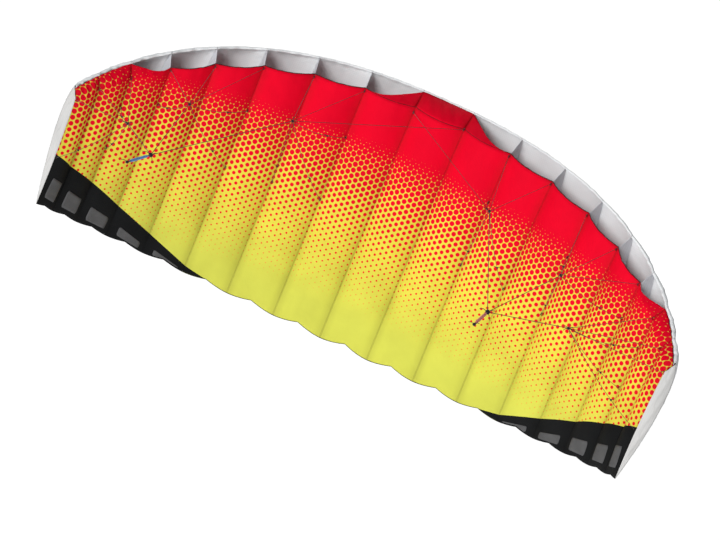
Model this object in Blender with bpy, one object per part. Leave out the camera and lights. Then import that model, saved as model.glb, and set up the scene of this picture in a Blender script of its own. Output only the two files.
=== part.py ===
# Two-line ram-air foil kite, inflated as it flies.
# +Z runs from the trailing edge to the leading edge, +X along the span, and -Y towards the person
# holding the lines. The origin is midway between the two tow knots, where the flying lines pull.
# Each cell is a lower panel and a stretch of upper skin held apart by ribs of sewn cloth.

import math

import bmesh
import bpy
from mathutils import Matrix, Vector

# Planform: widths run along the arc, heights along Z.
CELLS = 17
CELL_WIDTH = 0.150
TIP_TAPER = 0.58
TAPER_POWER = 2.2
TIP_LEAN = math.radians(60)
LEAN_POWER = 1.0
LIP_HEIGHT = 0.200
LIP_DROP = 0.284
LIP_POWER = 2.5
TAIL_HEIGHT = -0.524
TAIL_RISE = 0.128
TAIL_POWER = 1.9
TAIL_SCALLOP = 0.015

# Section: h is measured from the lower skin, away from the person flying it.
CENTRE_DEPTH = 0.085
TIP_DEPTH = 0.034
CENTRE_NOSE = 0.046
TIP_NOSE = 0.030
NOSE_START = 0.04
BELLY = 0.010
LOWER_BILLOW = 0.020
UPPER_BILLOW = 0.018
CLOTH = 0.001
GAP = 0.0004
RIB_SETBACK = 0.002
VENT_SHARE = 0.30
VENT_PLACES = (0.16, 0.36, 0.58)

# Bridle
TOW_SPACING = 0.884
TOW_DISTANCE = 1.020
LINE_RADIUS = 0.0006
MAIN_RADIUS = 0.0008
KNOT_RADIUS = 0.0045
TOW_KNOT_RADIUS = 0.0065
TAB_WIDTH = 0.002
TAB_HEIGHT = 0.008
TAB_LENGTH = 0.010
TAB_CLEARANCE = 0.0012
A_ROW = 0.012
B_ROW = 0.21
C_ROW = 0.48
EDGE_ROW = 0.54
CROSS_STAGGER = 0.014
LEADER_LENGTH = 0.160
LEADER_RADIUS = 0.0016
SLEEVE_LENGTH = 0.115
SLEEVE_RADIUS = 0.0034
SLEEVE_START = 0.024

# Rows of points along the chord, from front to back
LOWER_ROWS = [i / 10 for i in range(10)] + [0.95, 1.0]
UPPER_ROWS = [(i / 11) ** 1.6 for i in range(11)] + [0.95, 1.0]
CELL_COLUMNS = (0.0, 0.25, 0.75, 1.0)

HALF = CELLS // 2
BODY_SPANS = {"left_tip": (0, 3), "left_mid": (3, 6), "centre": (6, 11), "right_mid": (11, 14), "right_tip": (14, 17)}
CLOSED_NOSES = {"nose_cover_left_tip": (0, 2), "nose_cover_centre": (8, 9), "nose_cover_right_tip": (15, 17)}

# Each bridle group: where its knot lies from the tabs to the tow knot, and its tabs by rib and row.
# Ribs count from the nearer tip, so both wings use the same table.
GROUPS = {
    "tip": (0.55, [(0, A_ROW), (1, A_ROW), (2, A_ROW), (2, B_ROW), (2, C_ROW), (0, EDGE_ROW)]),
    "mid": (0.45, [(3, A_ROW), (4, A_ROW), (5, A_ROW), (3, B_ROW), (5, B_ROW), (5, C_ROW)]),
    "inner": (0.42, [(6, A_ROW), (7, A_ROW), (9, A_ROW), (7, B_ROW), (6, C_ROW), (7, C_ROW)]),
}
CROSS_RIB = 9


def clear_scene():
    for old in list(bpy.data.objects):
        bpy.data.objects.remove(old, do_unlink=True)


def material(name, colour, roughness):
    made = bpy.data.materials.new(name)
    made.use_nodes = True
    shader = made.node_tree.nodes["Principled BSDF"]
    shader.inputs["Base Color"].default_value = (*colour, 1.0)
    shader.inputs["Roughness"].default_value = roughness
    shader.inputs["Metallic"].default_value = 0.0
    return made


def add_object(name, mesh, finish):
    made = bpy.data.objects.new(name, mesh)
    bpy.context.collection.objects.link(made)
    made.data.materials.append(finish)
    return made


def mesh_from(name, bm):
    bmesh.ops.recalc_face_normals(bm, faces=bm.faces)
    mesh = bpy.data.meshes.new(name)
    bm.to_mesh(mesh)
    bm.free()
    return mesh


# The arc of the wing

def cell_width(cell):
    return CELL_WIDTH * (1 - TIP_TAPER * (abs(cell - HALF) / HALF) ** TAPER_POWER)


def cell_lean(cell):
    steps = cell - HALF
    return math.copysign(TIP_LEAN * (abs(steps) / HALF) ** LEAN_POWER, steps)


def lay_out_ribs():
    """Each rib's place on the lower skin (x, y), its lean, and its distance from the centre along the arc."""
    half = [(cell_width(HALF) / 2, TOW_DISTANCE, cell_width(HALF) / 2)]
    for cell in range(HALF + 1, CELLS):
        x, y, along = half[-1]
        width, lean = cell_width(cell), cell_lean(cell)
        half.append((x + width * math.cos(lean), y - width * math.sin(lean), along + width))
    ribs = []
    for rib, (x, y, along) in enumerate(half, start=HALF + 1):
        before = cell_lean(rib - 1)
        after = cell_lean(rib) if rib < CELLS else 2 * before - cell_lean(rib - 2)
        ribs.append((x, y, (before + after) / 2, along))
    mirrored = [(-x, y, -lean, -along) for x, y, lean, along in reversed(ribs)]
    return mirrored + ribs


RIBS = lay_out_ribs()
HALF_SPAN = RIBS[-1][3]


def station(cell, across):
    """A place across a cell, from 0 at its left rib to 1 at its right one."""
    left, right = RIBS[cell], RIBS[cell + 1]
    return [a + (b - a) * across for a, b in zip(left, right)]


def share_of_span(along):
    return min(1.0, abs(along) / HALF_SPAN)


def lip_height(along):
    return LIP_HEIGHT - LIP_DROP * share_of_span(along) ** LIP_POWER


def tail_height(along):
    return TAIL_HEIGHT + TAIL_RISE * share_of_span(along) ** TAIL_POWER


def nose_height(along):
    share = share_of_span(along) ** 2
    return lip_height(along) + CENTRE_NOSE + (TIP_NOSE - CENTRE_NOSE) * share


def section_depth(along):
    return CENTRE_DEPTH + (TIP_DEPTH - CENTRE_DEPTH) * share_of_span(along) ** 2


# The section of the wing, front to back

def thickness_curve(back):
    """The classic four-digit thickness curve, 0 at both ends and 1 at its deepest, cut off at the nose."""
    u = NOSE_START + (1 - NOSE_START) * back
    return 10 * (0.2969 * math.sqrt(u) - 0.1260 * u - 0.3516 * u**2 + 0.2843 * u**3 - 0.1036 * u**4)


def ease_to_tail(back):
    return min(1.0, 4 * (1 - back))


def hump(across):
    return 4 * across * (1 - across)


def scallop(across):
    return TAIL_SCALLOP * (1 - abs(2 * across - 1))


def billow_share(along):
    """How far the cloth swells between ribs here, next to the centre cell: narrow cells swell less."""
    return 1 - TIP_TAPER * share_of_span(along) ** TAPER_POWER


def belly_depth(along, back):
    chord_share = (lip_height(along) - tail_height(along)) / (LIP_HEIGHT - TAIL_HEIGHT)
    return BELLY * chord_share * hump(back)


def lower_height(along, back, across=0.0):
    billow = LOWER_BILLOW * billow_share(along) * hump(across) * ease_to_tail(back)
    return -belly_depth(along, back) - billow


def upper_height(along, back, across=0.0):
    billow = UPPER_BILLOW * billow_share(along) * hump(across) * ease_to_tail(back)
    return CLOTH + GAP + section_depth(along) * thickness_curve(back) + billow


def place(spot, h, z):
    x, y, lean, _ = spot
    return Vector((x + h * math.sin(lean), y + h * math.cos(lean), z))


def lower_point(spot, across, back, lift):
    along = spot[3]
    tail = tail_height(along) + scallop(across)
    z = lip_height(along) + (tail - lip_height(along)) * back
    return place(spot, lower_height(along, back, across) + lift, z)


def upper_point(spot, across, back, lift):
    along = spot[3]
    tail = tail_height(along) + scallop(across)
    z = nose_height(along) + (tail - nose_height(along)) * back
    return place(spot, upper_height(along, back, across) + lift, z)


def nose_point(spot, _across, up, lift):
    """A point on the cover that closes a cell's mouth, from its lip (0) to its nose (1)."""
    along = spot[3]
    low_h, high_h = CLOTH + GAP, upper_height(along, 0.0) - GAP
    low_z, high_z = lip_height(along), nose_height(along)
    length = math.hypot(high_h - low_h, high_z - low_z)
    out_h, out_z = -(high_z - low_z) / length, (high_h - low_h) / length
    h = low_h + (high_h - low_h) * up + out_h * lift
    z = low_z + (high_z - low_z) * up + out_z * lift
    return place(spot, h, z)


# Cloth pieces

def columns_of(first, last):
    """Places across cells first to last, pulled in from the outer two seams by half a gap."""
    columns = []
    for cell in range(first, last):
        pull = GAP / 2 / cell_width(cell)
        for across in CELL_COLUMNS:
            if across == 0.0 and cell > first:
                continue
            shown = across
            if cell == first and across == 0.0:
                shown = pull
            if cell == last - 1 and across == 1.0:
                shown = 1 - pull
            columns.append((station(cell, shown), across))
    return columns


def sheet(name, first, last, rows, surface, finish):
    """A closed piece of cloth that follows a surface across some cells."""
    columns = columns_of(first, last)
    bm = bmesh.new()
    layers = []
    for lift in (0.0, CLOTH):
        layers.append([[bm.verts.new(surface(spot, across, row, lift)) for spot, across in columns] for row in rows])
    inner, outer = layers
    count, width = len(rows), len(columns)
    for i in range(count - 1):
        for j in range(width - 1):
            bm.faces.new((inner[i][j], inner[i][j + 1], inner[i + 1][j + 1], inner[i + 1][j]))
            bm.faces.new((outer[i][j], outer[i + 1][j], outer[i + 1][j + 1], outer[i][j + 1]))
    for i in range(count - 1):
        for j in (0, width - 1):
            bm.faces.new((inner[i][j], inner[i + 1][j], outer[i + 1][j], outer[i][j]))
    for j in range(width - 1):
        for i in (0, count - 1):
            bm.faces.new((inner[i][j], inner[i][j + 1], outer[i][j + 1], outer[i][j]))
    return add_object(name, mesh_from(name, bm), finish)


def rib_outline(rib):
    """The rib's edge in (h, z): back along the lower skin, then forward under the upper skin."""
    along = RIBS[rib][3]
    lip, nose, tail = lip_height(along), nose_height(along), tail_height(along)
    lower = []
    for back in LOWER_ROWS[:-1]:
        z = lip + (tail - lip) * back
        lower.append((lower_height(along, back) + CLOTH + GAP, z - RIB_SETBACK * (back == 0)))
    upper = []
    for back in UPPER_ROWS[:-1]:
        z = nose + (tail - nose) * back
        upper.append((upper_height(along, back) - GAP, z - RIB_SETBACK * (back == 0)))
    return lower + upper[::-1]


def rib_vents(rib):
    """Round vents through a rib, which let air pass between cells: (h, z, radius)."""
    along = RIBS[rib][3]
    nose, tail = nose_height(along), tail_height(along)
    vents = []
    for back in VENT_PLACES:
        low, high = lower_height(along, back), upper_height(along, back)
        vents.append(((low + high) / 2, nose + (tail - nose) * back, VENT_SHARE * (high - low)))
    return vents


def add_rib(rib, finish):
    x, y, lean, _ = RIBS[rib]
    sideways = Vector((math.cos(lean), -math.sin(lean), 0.0)) * CLOTH / 2
    name = f"rib_{rib + 1:02d}"
    outline = rib_outline(rib)
    bm = bmesh.new()
    sides = []
    for offset in (-sideways, sideways):
        sides.append([bm.verts.new(place(RIBS[rib], h, z) + offset) for h, z in outline])
    near, far = sides
    bm.faces.new(near)
    bm.faces.new(far[::-1])
    for i in range(len(outline)):
        j = (i + 1) % len(outline)
        bm.faces.new((near[i], near[j], far[j], far[i]))
    made = add_object(name, mesh_from(name, bm), finish)
    if 0 < rib < CELLS:
        cut_vents(made, rib, lean)
    return made


def cut_vents(made, rib, lean):
    bm = bmesh.new()
    turn = Matrix.Rotation(-lean, 4, "Z") @ Matrix.Rotation(math.pi / 2, 4, "Y")
    for h, z, radius in rib_vents(rib):
        at = Matrix.Translation(place(RIBS[rib], h, z)) @ turn
        bmesh.ops.create_cone(
            bm, cap_ends=True, segments=12, radius1=radius, radius2=radius, depth=8 * CLOTH, matrix=at
        )
    cutter = add_object(f"cutter_{made.name}", mesh_from("vents", bm), made.data.materials[0])
    cutter.hide_render = True
    cutter.display_type = "WIRE"
    cut = made.modifiers.new("vents", "BOOLEAN")
    cut.operation = "DIFFERENCE"
    cut.solver = "EXACT"
    cut.object = cutter


# Bridle pieces

def rod_mesh(name, start, end, radius, sides=6):
    bm = bmesh.new()
    run = end - start
    turn = run.to_track_quat("Z", "Y").to_matrix().to_4x4()
    at = Matrix.Translation((start + end) / 2) @ turn
    bmesh.ops.create_cone(
        bm, cap_ends=True, segments=sides, radius1=radius, radius2=radius, depth=run.length, matrix=at
    )
    return mesh_from(name, bm)


def ball_mesh(name, centre, radius):
    bm = bmesh.new()
    bmesh.ops.create_icosphere(bm, subdivisions=2, radius=radius, matrix=Matrix.Translation(centre))
    return mesh_from(name, bm)


def tab_frame(rib, back, shift):
    """The middle of a bridle tab's outer edge, with the middle and turn of its tape."""
    x, y, lean, along = RIBS[rib]
    z = lip_height(along) + (tail_height(along) - lip_height(along)) * back + shift
    top = lower_height(along, back) - TAB_CLEARANCE
    turn = Matrix.Rotation(-lean, 4, "Z")
    return place(RIBS[rib], top - TAB_HEIGHT + CLOTH, z), place(RIBS[rib], top - TAB_HEIGHT / 2, z), turn


def tab_mesh(name, middle, turn):
    bm = bmesh.new()
    size = Matrix.Diagonal((TAB_WIDTH, TAB_HEIGHT, TAB_LENGTH, 1.0))
    bmesh.ops.create_cube(bm, size=1.0, matrix=Matrix.Translation(middle) @ turn @ size)
    return mesh_from(name, bm)


def union(name, first_mesh, other_meshes, finish):
    """One closed solid from meshes that run into each other."""
    made = add_object(name, first_mesh, finish)
    group = bpy.data.collections.new(f"{name}_joined")
    bpy.context.scene.collection.children.link(group)
    for mesh in other_meshes:
        helper = bpy.data.objects.new(f"joined_{mesh.name}", mesh)
        helper.hide_render = True
        helper.display_type = "WIRE"
        group.objects.link(helper)
    join = made.modifiers.new("joined", "BOOLEAN")
    join.operation = "UNION"
    join.solver = "EXACT"
    join.operand_type = "COLLECTION"
    join.collection = group
    return made


def tow_knot(side):
    return Vector((side * TOW_SPACING / 2, 0.0, 0.0))


def rib_of(rib_from_tip, side):
    return rib_from_tip if side < 0 else CELLS - rib_from_tip


def group_tabs(group, side):
    tabs = []
    for rib_from_tip, back in GROUPS[group][1]:
        shift = -side * CROSS_STAGGER / 2 if rib_from_tip == CROSS_RIB else 0.0
        tabs.append(tab_frame(rib_of(rib_from_tip, side), back, shift))
    return tabs


def group_knot(group, side):
    share, tabs = GROUPS[group]
    front = [tab_frame(rib_of(rib, side), back, 0.0)[0] for rib, back in tabs if back == A_ROW]
    middle = sum(front, Vector()) / len(front)
    return middle.lerp(tow_knot(side), share)


def add_bridle_group(group, side, word, finish):
    name = f"{word}_{group}_bridle"
    knot = group_knot(group, side)
    pieces = []
    for number, (line_end, middle, turn) in enumerate(group_tabs(group, side)):
        pieces.append(rod_mesh(f"{name}_line_{number}", line_end, knot, LINE_RADIUS))
        pieces.append(tab_mesh(f"{name}_tab_{number}", middle, turn))
    if group == "mid":
        pieces.append(rod_mesh(f"{name}_main", knot, tow_knot(side), MAIN_RADIUS))
        pieces.append(ball_mesh(f"{name}_tow", tow_knot(side), TOW_KNOT_RADIUS))
    return union(name, ball_mesh(name, knot, KNOT_RADIUS), pieces, finish)


def add_main_line(group, side, word, finish):
    name = f"{word}_{group}_main_line"
    knot, tow = group_knot(group, side), tow_knot(side)
    way = (tow - knot).normalized()
    start = knot + way * (KNOT_RADIUS + GAP)
    end = tow - way * (TOW_KNOT_RADIUS + GAP)
    return add_object(name, rod_mesh(name, start, end, MAIN_RADIUS), finish)


def add_leader(side, word, line_finish, sleeve_finish):
    """The short looped leader that a flying line is tied to, turning about the tow knot."""
    pivot = bpy.data.objects.new(f"{word}_leader_pivot", None)
    bpy.context.collection.objects.link(pivot)
    pivot.location = tow_knot(side)
    start = Vector((0.0, -(TOW_KNOT_RADIUS + GAP), 0.0))
    end = Vector((0.0, -LEADER_LENGTH, 0.0))
    name = f"{word}_leader_line"
    stop = ball_mesh(f"{name}_stop", end, KNOT_RADIUS)
    line = union(name, rod_mesh(name, start, end, LEADER_RADIUS, sides=8), [stop], line_finish)
    sleeve = add_object(f"{word}_leader_sleeve", sleeve_mesh(), sleeve_finish)
    sleeve.parent = pivot
    line.parent = pivot
    for helper in line.modifiers["joined"].collection.objects:
        helper.parent = pivot


def sleeve_mesh():
    """A soft tube over the leader, with room for the line inside it."""
    turned = [
        (LEADER_RADIUS + GAP, SLEEVE_START),
        (SLEEVE_RADIUS, SLEEVE_START),
        (SLEEVE_RADIUS, SLEEVE_START + SLEEVE_LENGTH),
        (LEADER_RADIUS + GAP, SLEEVE_START + SLEEVE_LENGTH),
    ]
    sides = 12
    bm = bmesh.new()
    rings = []
    for step in range(sides):
        angle = 2 * math.pi * step / sides
        rings.append([bm.verts.new((r * math.cos(angle), -y, r * math.sin(angle))) for r, y in turned])
    for step in range(sides):
        here, there = rings[step], rings[(step + 1) % sides]
        for i in range(len(turned)):
            j = (i + 1) % len(turned)
            bm.faces.new((here[i], here[j], there[j], there[i]))
    return mesh_from("leader_sleeve", bm)


clear_scene()
red_cloth = material("lower_skin", (0.85, 0.05, 0.08), 0.5)
white_cloth = material("upper_skin", (0.85, 0.85, 0.87), 0.5)
rib_cloth = material("rib_cloth", (0.60, 0.62, 0.67), 0.6)
cover_cloth = material("nose_cover", (0.72, 0.02, 0.06), 0.5)
bridle_line = material("bridle_line", (0.03, 0.03, 0.03), 0.7)
blue_sleeve = material("left_sleeve", (0.10, 0.45, 0.85), 0.6)
red_sleeve = material("right_sleeve", (0.85, 0.20, 0.15), 0.6)

for cell in range(CELLS):
    sheet(f"lower_panel_{cell + 1:02d}", cell, cell + 1, LOWER_ROWS, lower_point, red_cloth)
for rib in range(CELLS + 1):
    add_rib(rib, rib_cloth)
for body, (first, last) in BODY_SPANS.items():
    sheet(f"upper_skin_{body}", first, last, UPPER_ROWS, upper_point, white_cloth)
for name, (first, last) in CLOSED_NOSES.items():
    sheet(name, first, last, (0.0, 1.0), nose_point, cover_cloth)
for side, word, sleeve_finish in ((-1, "left", blue_sleeve), (1, "right", red_sleeve)):
    for group in GROUPS:
        add_bridle_group(group, side, word, bridle_line)
    for group in ("tip", "inner"):
        add_main_line(group, side, word, bridle_line)
    add_leader(side, word, bridle_line, sleeve_finish)
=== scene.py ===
import math

import bmesh
import bpy
import numpy as np
from mathutils import Matrix, Vector


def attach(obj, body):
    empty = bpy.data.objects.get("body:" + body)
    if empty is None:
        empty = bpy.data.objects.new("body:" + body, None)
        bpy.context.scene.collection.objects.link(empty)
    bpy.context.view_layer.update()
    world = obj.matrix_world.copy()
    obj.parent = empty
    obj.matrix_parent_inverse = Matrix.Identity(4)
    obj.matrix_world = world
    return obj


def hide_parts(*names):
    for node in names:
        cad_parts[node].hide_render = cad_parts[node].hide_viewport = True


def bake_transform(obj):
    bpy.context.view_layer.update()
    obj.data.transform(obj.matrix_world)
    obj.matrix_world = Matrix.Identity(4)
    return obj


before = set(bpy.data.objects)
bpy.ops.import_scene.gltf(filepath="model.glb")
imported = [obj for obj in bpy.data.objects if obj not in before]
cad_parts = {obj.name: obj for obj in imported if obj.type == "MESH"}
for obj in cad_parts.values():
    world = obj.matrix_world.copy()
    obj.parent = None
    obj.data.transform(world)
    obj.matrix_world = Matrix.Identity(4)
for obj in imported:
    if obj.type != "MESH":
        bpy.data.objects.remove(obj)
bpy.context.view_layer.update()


# The view: the kite hangs in the sky above and in front of the eye, rolled over to its right.
# A long lens looks up the lines at the printed lower skin.
VIEW_TURN = math.radians(9.56)
VIEW_RISE = math.radians(13.77)
VIEW_ROLL = math.radians(22.78)
VIEW_DISTANCE = 6.0
VIEW_AIM = Vector((-0.0392, 1.0, -0.2864))
VIEW_LENS = 106.26
SENSOR_WIDTH = 36.0

away = Vector((
    math.sin(VIEW_TURN) * math.cos(VIEW_RISE),
    -math.cos(VIEW_TURN) * math.cos(VIEW_RISE),
    math.sin(VIEW_RISE),
))
level = Vector((0, 0, 1)).cross(away).normalized()
upright = away.cross(level)
view_right = level * math.cos(VIEW_ROLL) + upright * math.sin(VIEW_ROLL)
view_up = upright * math.cos(VIEW_ROLL) - level * math.sin(VIEW_ROLL)
view = bpy.data.objects.new("view", bpy.data.cameras.new("view"))
view.data.lens = VIEW_LENS
view.data.sensor_width = SENSOR_WIDTH
view.data.clip_end = 200.0
view.matrix_world = Matrix.Translation(VIEW_AIM + away * VIEW_DISTANCE) @ Matrix((
    (view_right.x, view_up.x, away.x, 0),
    (view_right.y, view_up.y, away.y, 0),
    (view_right.z, view_up.z, away.z, 0),
    (0, 0, 0, 1),
))
bpy.context.scene.collection.objects.link(view)
bpy.context.scene.camera = view


# The lower skin: seventeen panels of printed ripstop, one to a cell, sewn edge to edge along the ribs.
# Air in the cells swells each panel between its two seams, and the tail edge draws up between the ribs.
# The wing's plan is the same one that the solid frame is built on.
CELLS = 17
HALF = CELLS // 2
CELL_WIDTH = 0.150
TIP_TAPER = 0.58
TAPER_POWER = 2.2
TIP_LEAN = math.radians(60)
TOW_DISTANCE = 1.020
LIP_HEIGHT = 0.200
LIP_DROP = 0.284
LIP_POWER = 2.5
TAIL_HEIGHT = -0.524
TAIL_RISE = 0.128
TAIL_POWER = 1.9
CENTRE_NOTCH = 0.016
TIP_NOTCH = 0.004
NOTCH_POWER = 1.7
BELLY = 0.010
LOWER_BILLOW = 0.024
LIP_SAG = 0.005
SAG_REACH = 0.05
CLOTH_THICKNESS = 0.0003
PUCKER_HEIGHT = 0.0009
PUCKER_LENGTH = 0.019
PUCKER_REACH = 0.10
PUCKER_CREST = 0.02
PUCKER_RUN = 0.72
LIP_CREASE_HEIGHT = 0.0013
LIP_CREASE_REACH = 0.06

# Print: dots on a six-sided lattice, PITCH apart, that swell from nothing at the tail to solid at the lip.
# INK_COVER is how much of the cloth the ink covers, at the heights below it at the centre and at the tips.
PITCH = 0.0172
LATTICE_TURN = math.radians(-3.6)
INK_COVER = (0.0, 0.05, 0.15, 0.30, 0.45, 0.60, 0.75, 0.90, 1.0)
CENTRE_HEIGHTS = (-0.415, -0.328, -0.238, -0.160, -0.103, -0.058, -0.015, 0.030, 0.085)
TIP_HEIGHTS = (-0.465, -0.375, -0.275, -0.205, -0.147, -0.094, -0.053, -0.010, 0.050)
TIP_DROP = 0.04
# Above MESHING_COVER the dots have met, and only small gaps are left to close.
MESHING_COVER = 0.9
MESHING_RADIUS = 0.498
MESHING_RATE = 1.1
# A dot's soft rim, and the radii over which small dots fade in and turn from orange to crimson
DOT_RIM = 0.035
DOT_FADE = (0.03, 0.09)
DOT_REDDEN = (0.06, 0.17)
LIME_HEIGHTS = (-0.16, -0.46)
# Black tail cloth: its share of the chord at each rib, counted from the tip
BLACK_SHARES = (0.478, 0.37, 0.28, 0.185, 0.105, 0.032, 0.0)
LEMON = (0.800, 0.690, 0.066)
LIME = (0.610, 0.620, 0.085)
CRIMSON = (0.800, 0.0006, 0.020)
ORANGE = (0.800, 0.250, 0.040)
BLACK = (0.0065, 0.0068, 0.0072)
BLACK_THREAD = (0.014, 0.015, 0.016)


def cell_width(cell):
    return CELL_WIDTH * (1 - TIP_TAPER * (abs(cell - HALF) / HALF) ** TAPER_POWER)


def cell_lean(cell):
    return TIP_LEAN * (cell - HALF) / HALF


def lay_out_ribs():
    """Each rib's place on the lower skin (x, y), its lean, and its distance from the centre along the arc."""
    half = [(cell_width(HALF) / 2, TOW_DISTANCE, cell_width(HALF) / 2)]
    for cell in range(HALF + 1, CELLS):
        x, y, along = half[-1]
        width, lean = cell_width(cell), cell_lean(cell)
        half.append((x + width * math.cos(lean), y - width * math.sin(lean), along + width))
    ribs = []
    for rib, (x, y, along) in enumerate(half, start=HALF + 1):
        before = cell_lean(rib - 1)
        after = cell_lean(rib) if rib < CELLS else 2 * before - cell_lean(rib - 2)
        ribs.append((x, y, (before + after) / 2, along))
    return [(-x, y, -lean, -along) for x, y, lean, along in reversed(ribs)] + ribs


RIBS = lay_out_ribs()
HALF_SPAN = RIBS[-1][3]


def station(cell, across):
    """A place across a cell, from 0 at its left rib to 1 at its right one: (x, y, lean, along)."""
    return [a + (b - a) * across for a, b in zip(RIBS[cell], RIBS[cell + 1])]


def span_share(along):
    return min(1.0, abs(along) / HALF_SPAN)


def lip_height(along):
    return LIP_HEIGHT - LIP_DROP * span_share(along) ** LIP_POWER


def tail_height(along):
    return TAIL_HEIGHT + TAIL_RISE * span_share(along) ** TAIL_POWER


def swell_share(along):
    return 1 - TIP_TAPER * span_share(along) ** TAPER_POWER


def hump(across):
    return 4 * across * (1 - across)


def evenly(steps):
    return [i / steps for i in range(steps + 1)]


def tail_ease(back, rate=4):
    """The swell dies away towards the tail, where both skins are sewn together."""
    return min(1.0, rate * (1 - back))


def tail_notch(along, across):
    """How far the tail edge is drawn up: most at mid-cell, and less towards the tips."""
    deep = CENTRE_NOTCH + (TIP_NOTCH - CENTRE_NOTCH) * span_share(along)
    return deep * (1 - abs(2 * across - 1)) ** NOTCH_POWER


def belly_depth(along, back):
    return BELLY * (lip_height(along) - tail_height(along)) / (LIP_HEIGHT - TAIL_HEIGHT) * hump(back)


def pucker(cell, across, back, reach=PUCKER_REACH):
    """Small gathers where the thread draws the cloth in beside a seam."""
    side = 0 if across < 0.5 else 1
    near = min(across, 1 - across)
    crest = near / PUCKER_CREST
    fade = crest * math.exp(1 - crest) if crest < 1 else math.exp(-(near - PUCKER_CREST) / reach)
    seam = cell + side
    run = back * PUCKER_RUN / PUCKER_LENGTH
    wave = math.sin(2 * math.pi * run + 1.7 * seam)
    wave += 0.6 * math.sin(2 * math.pi * run * 0.43 + 2.9 * seam)
    return PUCKER_HEIGHT * wave * fade


def lip_creases(cell, across, back):
    """Soft creases that run back from the lip, where the mouth is pulled open."""
    fade = math.exp(-back / LIP_CREASE_REACH)
    wave = math.sin(2 * math.pi * (3.2 * across + 0.31 * cell))
    wave += 0.7 * math.sin(2 * math.pi * (5.7 * across + 0.77 * cell))
    return LIP_CREASE_HEIGHT * wave * fade * hump(across)


def place(spot, h, z):
    """A point at height z that stands h behind the lower skin's seams."""
    x, y, lean = spot[:3]
    return Vector((x + h * math.sin(lean), y + h * math.cos(lean), z))


def lower_point(cell, across, back, lift=0.0):
    spot = station(cell, across)
    along = spot[3]
    ease = tail_ease(back)
    billow = LOWER_BILLOW * swell_share(along) * hump(across) * ease
    gathers = (pucker(cell, across, back) + lip_creases(cell, across, back)) * ease
    h = -belly_depth(along, back) - billow - gathers - lift
    lip = lip_height(along) - LIP_SAG * hump(across) * math.exp(-back / SAG_REACH)
    tail = tail_height(along) + tail_notch(along, across)
    return place(spot, h, lip + (tail - lip) * back)


def cloth_run(cell, across):
    """Distance along the cloth itself, which is longer than the straight line between ribs."""
    rise = 4 * LOWER_BILLOW * swell_share(station(cell, 0.5)[3]) / cell_width(cell)
    steps = 24
    spots = [across * (i + 0.5) / steps for i in range(steps)]
    return sum(math.hypot(1, rise * (1 - 2 * s)) for s in spots) * across / steps * cell_width(cell)


CELL_STARTS = [0.0]
for cell in range(CELLS):
    CELL_STARTS.append(CELL_STARTS[-1] + cloth_run(cell, 1.0))
CLOTH_MIDDLE = CELL_STARTS[-1] / 2


def dot_radius(along, height):
    """The ink dot's radius here, in lattice pitches."""
    share = span_share(along) ** 1.5
    drop = TIP_DROP * span_share(along) ** 10
    heights = [a + (b - a) * share - drop for a, b in zip(CENTRE_HEIGHTS, TIP_HEIGHTS)]
    cover = float(np.interp(height, heights, INK_COVER))
    if cover > MESHING_COVER:
        return MESHING_RADIUS + (cover - MESHING_COVER) * MESHING_RATE
    return math.sqrt(cover * math.sqrt(3) / (2 * math.pi))


def black_share(cell, across):
    """How much of the chord is black tail cloth here."""
    from_tip = min(cell + across, CELLS - cell - across)
    return float(np.interp(from_tip, range(len(BLACK_SHARES)), BLACK_SHARES))


def grid_mesh(name, columns, rows, point, values=None):
    """A sheet of quads. point gives each corner, and values its place in the print, dot radius and seam."""
    made = bpy.data.meshes.new(name)
    spots = [(a, b) for b in rows for a in columns]
    verts = [point(a, b) for a, b in spots]
    width = len(columns)
    faces = []
    for i in range(len(rows) - 1):
        for j in range(width - 1):
            at = i * width + j
            faces.append((at, at + width, at + width + 1, at + 1))
    made.from_pydata(verts, [], faces)
    if values:
        kept = [values(a, b) for a, b in spots]
        uv = made.uv_layers.new(name="print")
        for loop in made.loops:
            uv.data[loop.index].uv = kept[loop.vertex_index][:2]
        for number, title in enumerate(("dot", "seam"), start=2):
            layer = made.attributes.new(title, "FLOAT", "POINT")
            layer.data.foreach_set("value", [k[number] for k in kept])
    for face in made.polygons:
        face.use_smooth = True
    return made


def add_piece(name, mesh, *finishes):
    made = bpy.data.objects.new(name, mesh)
    bpy.context.scene.collection.objects.link(made)
    for finish in finishes:
        mesh.materials.append(finish)
    return made


def thicken(piece, thickness):
    cloth = piece.modifiers.new("cloth", "SOLIDIFY")
    cloth.thickness = thickness
    cloth.offset = 0.0
    return piece


# Each wing section's first cell, and the cell after its last
SECTIONS = {
    "left_tip": (0, 3),
    "left_mid": (3, 6),
    "centre": (6, 11),
    "right_mid": (11, 14),
    "right_tip": (14, 17),
}
# Cells at the joints between wing sections: the section that stays, the one that folds, and the two ribs of
# the joint
FOLD_CELLS = {
    5: ("centre", "left_mid", 6, 5),
    2: ("left_mid", "left_tip", 3, 2),
    11: ("centre", "right_mid", 11, 12),
    14: ("right_mid", "right_tip", 14, 15),
}


def section_of(cell):
    return next(body for body, (first, last) in SECTIONS.items() if first <= cell < last)


def fasten(piece, cell):
    """Sewn to its cell: it rides with the cell's section, but in a cell at a section joint it stays where it
    is, its place baked into its mesh.
    """
    if cell in FOLD_CELLS:
        near, far, start, end = FOLD_CELLS[cell]
        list(RIBS[start][:2])
        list(RIBS[end][:2])
        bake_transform(piece)
    else:
        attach(piece, section_of(cell))
    return piece


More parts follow.
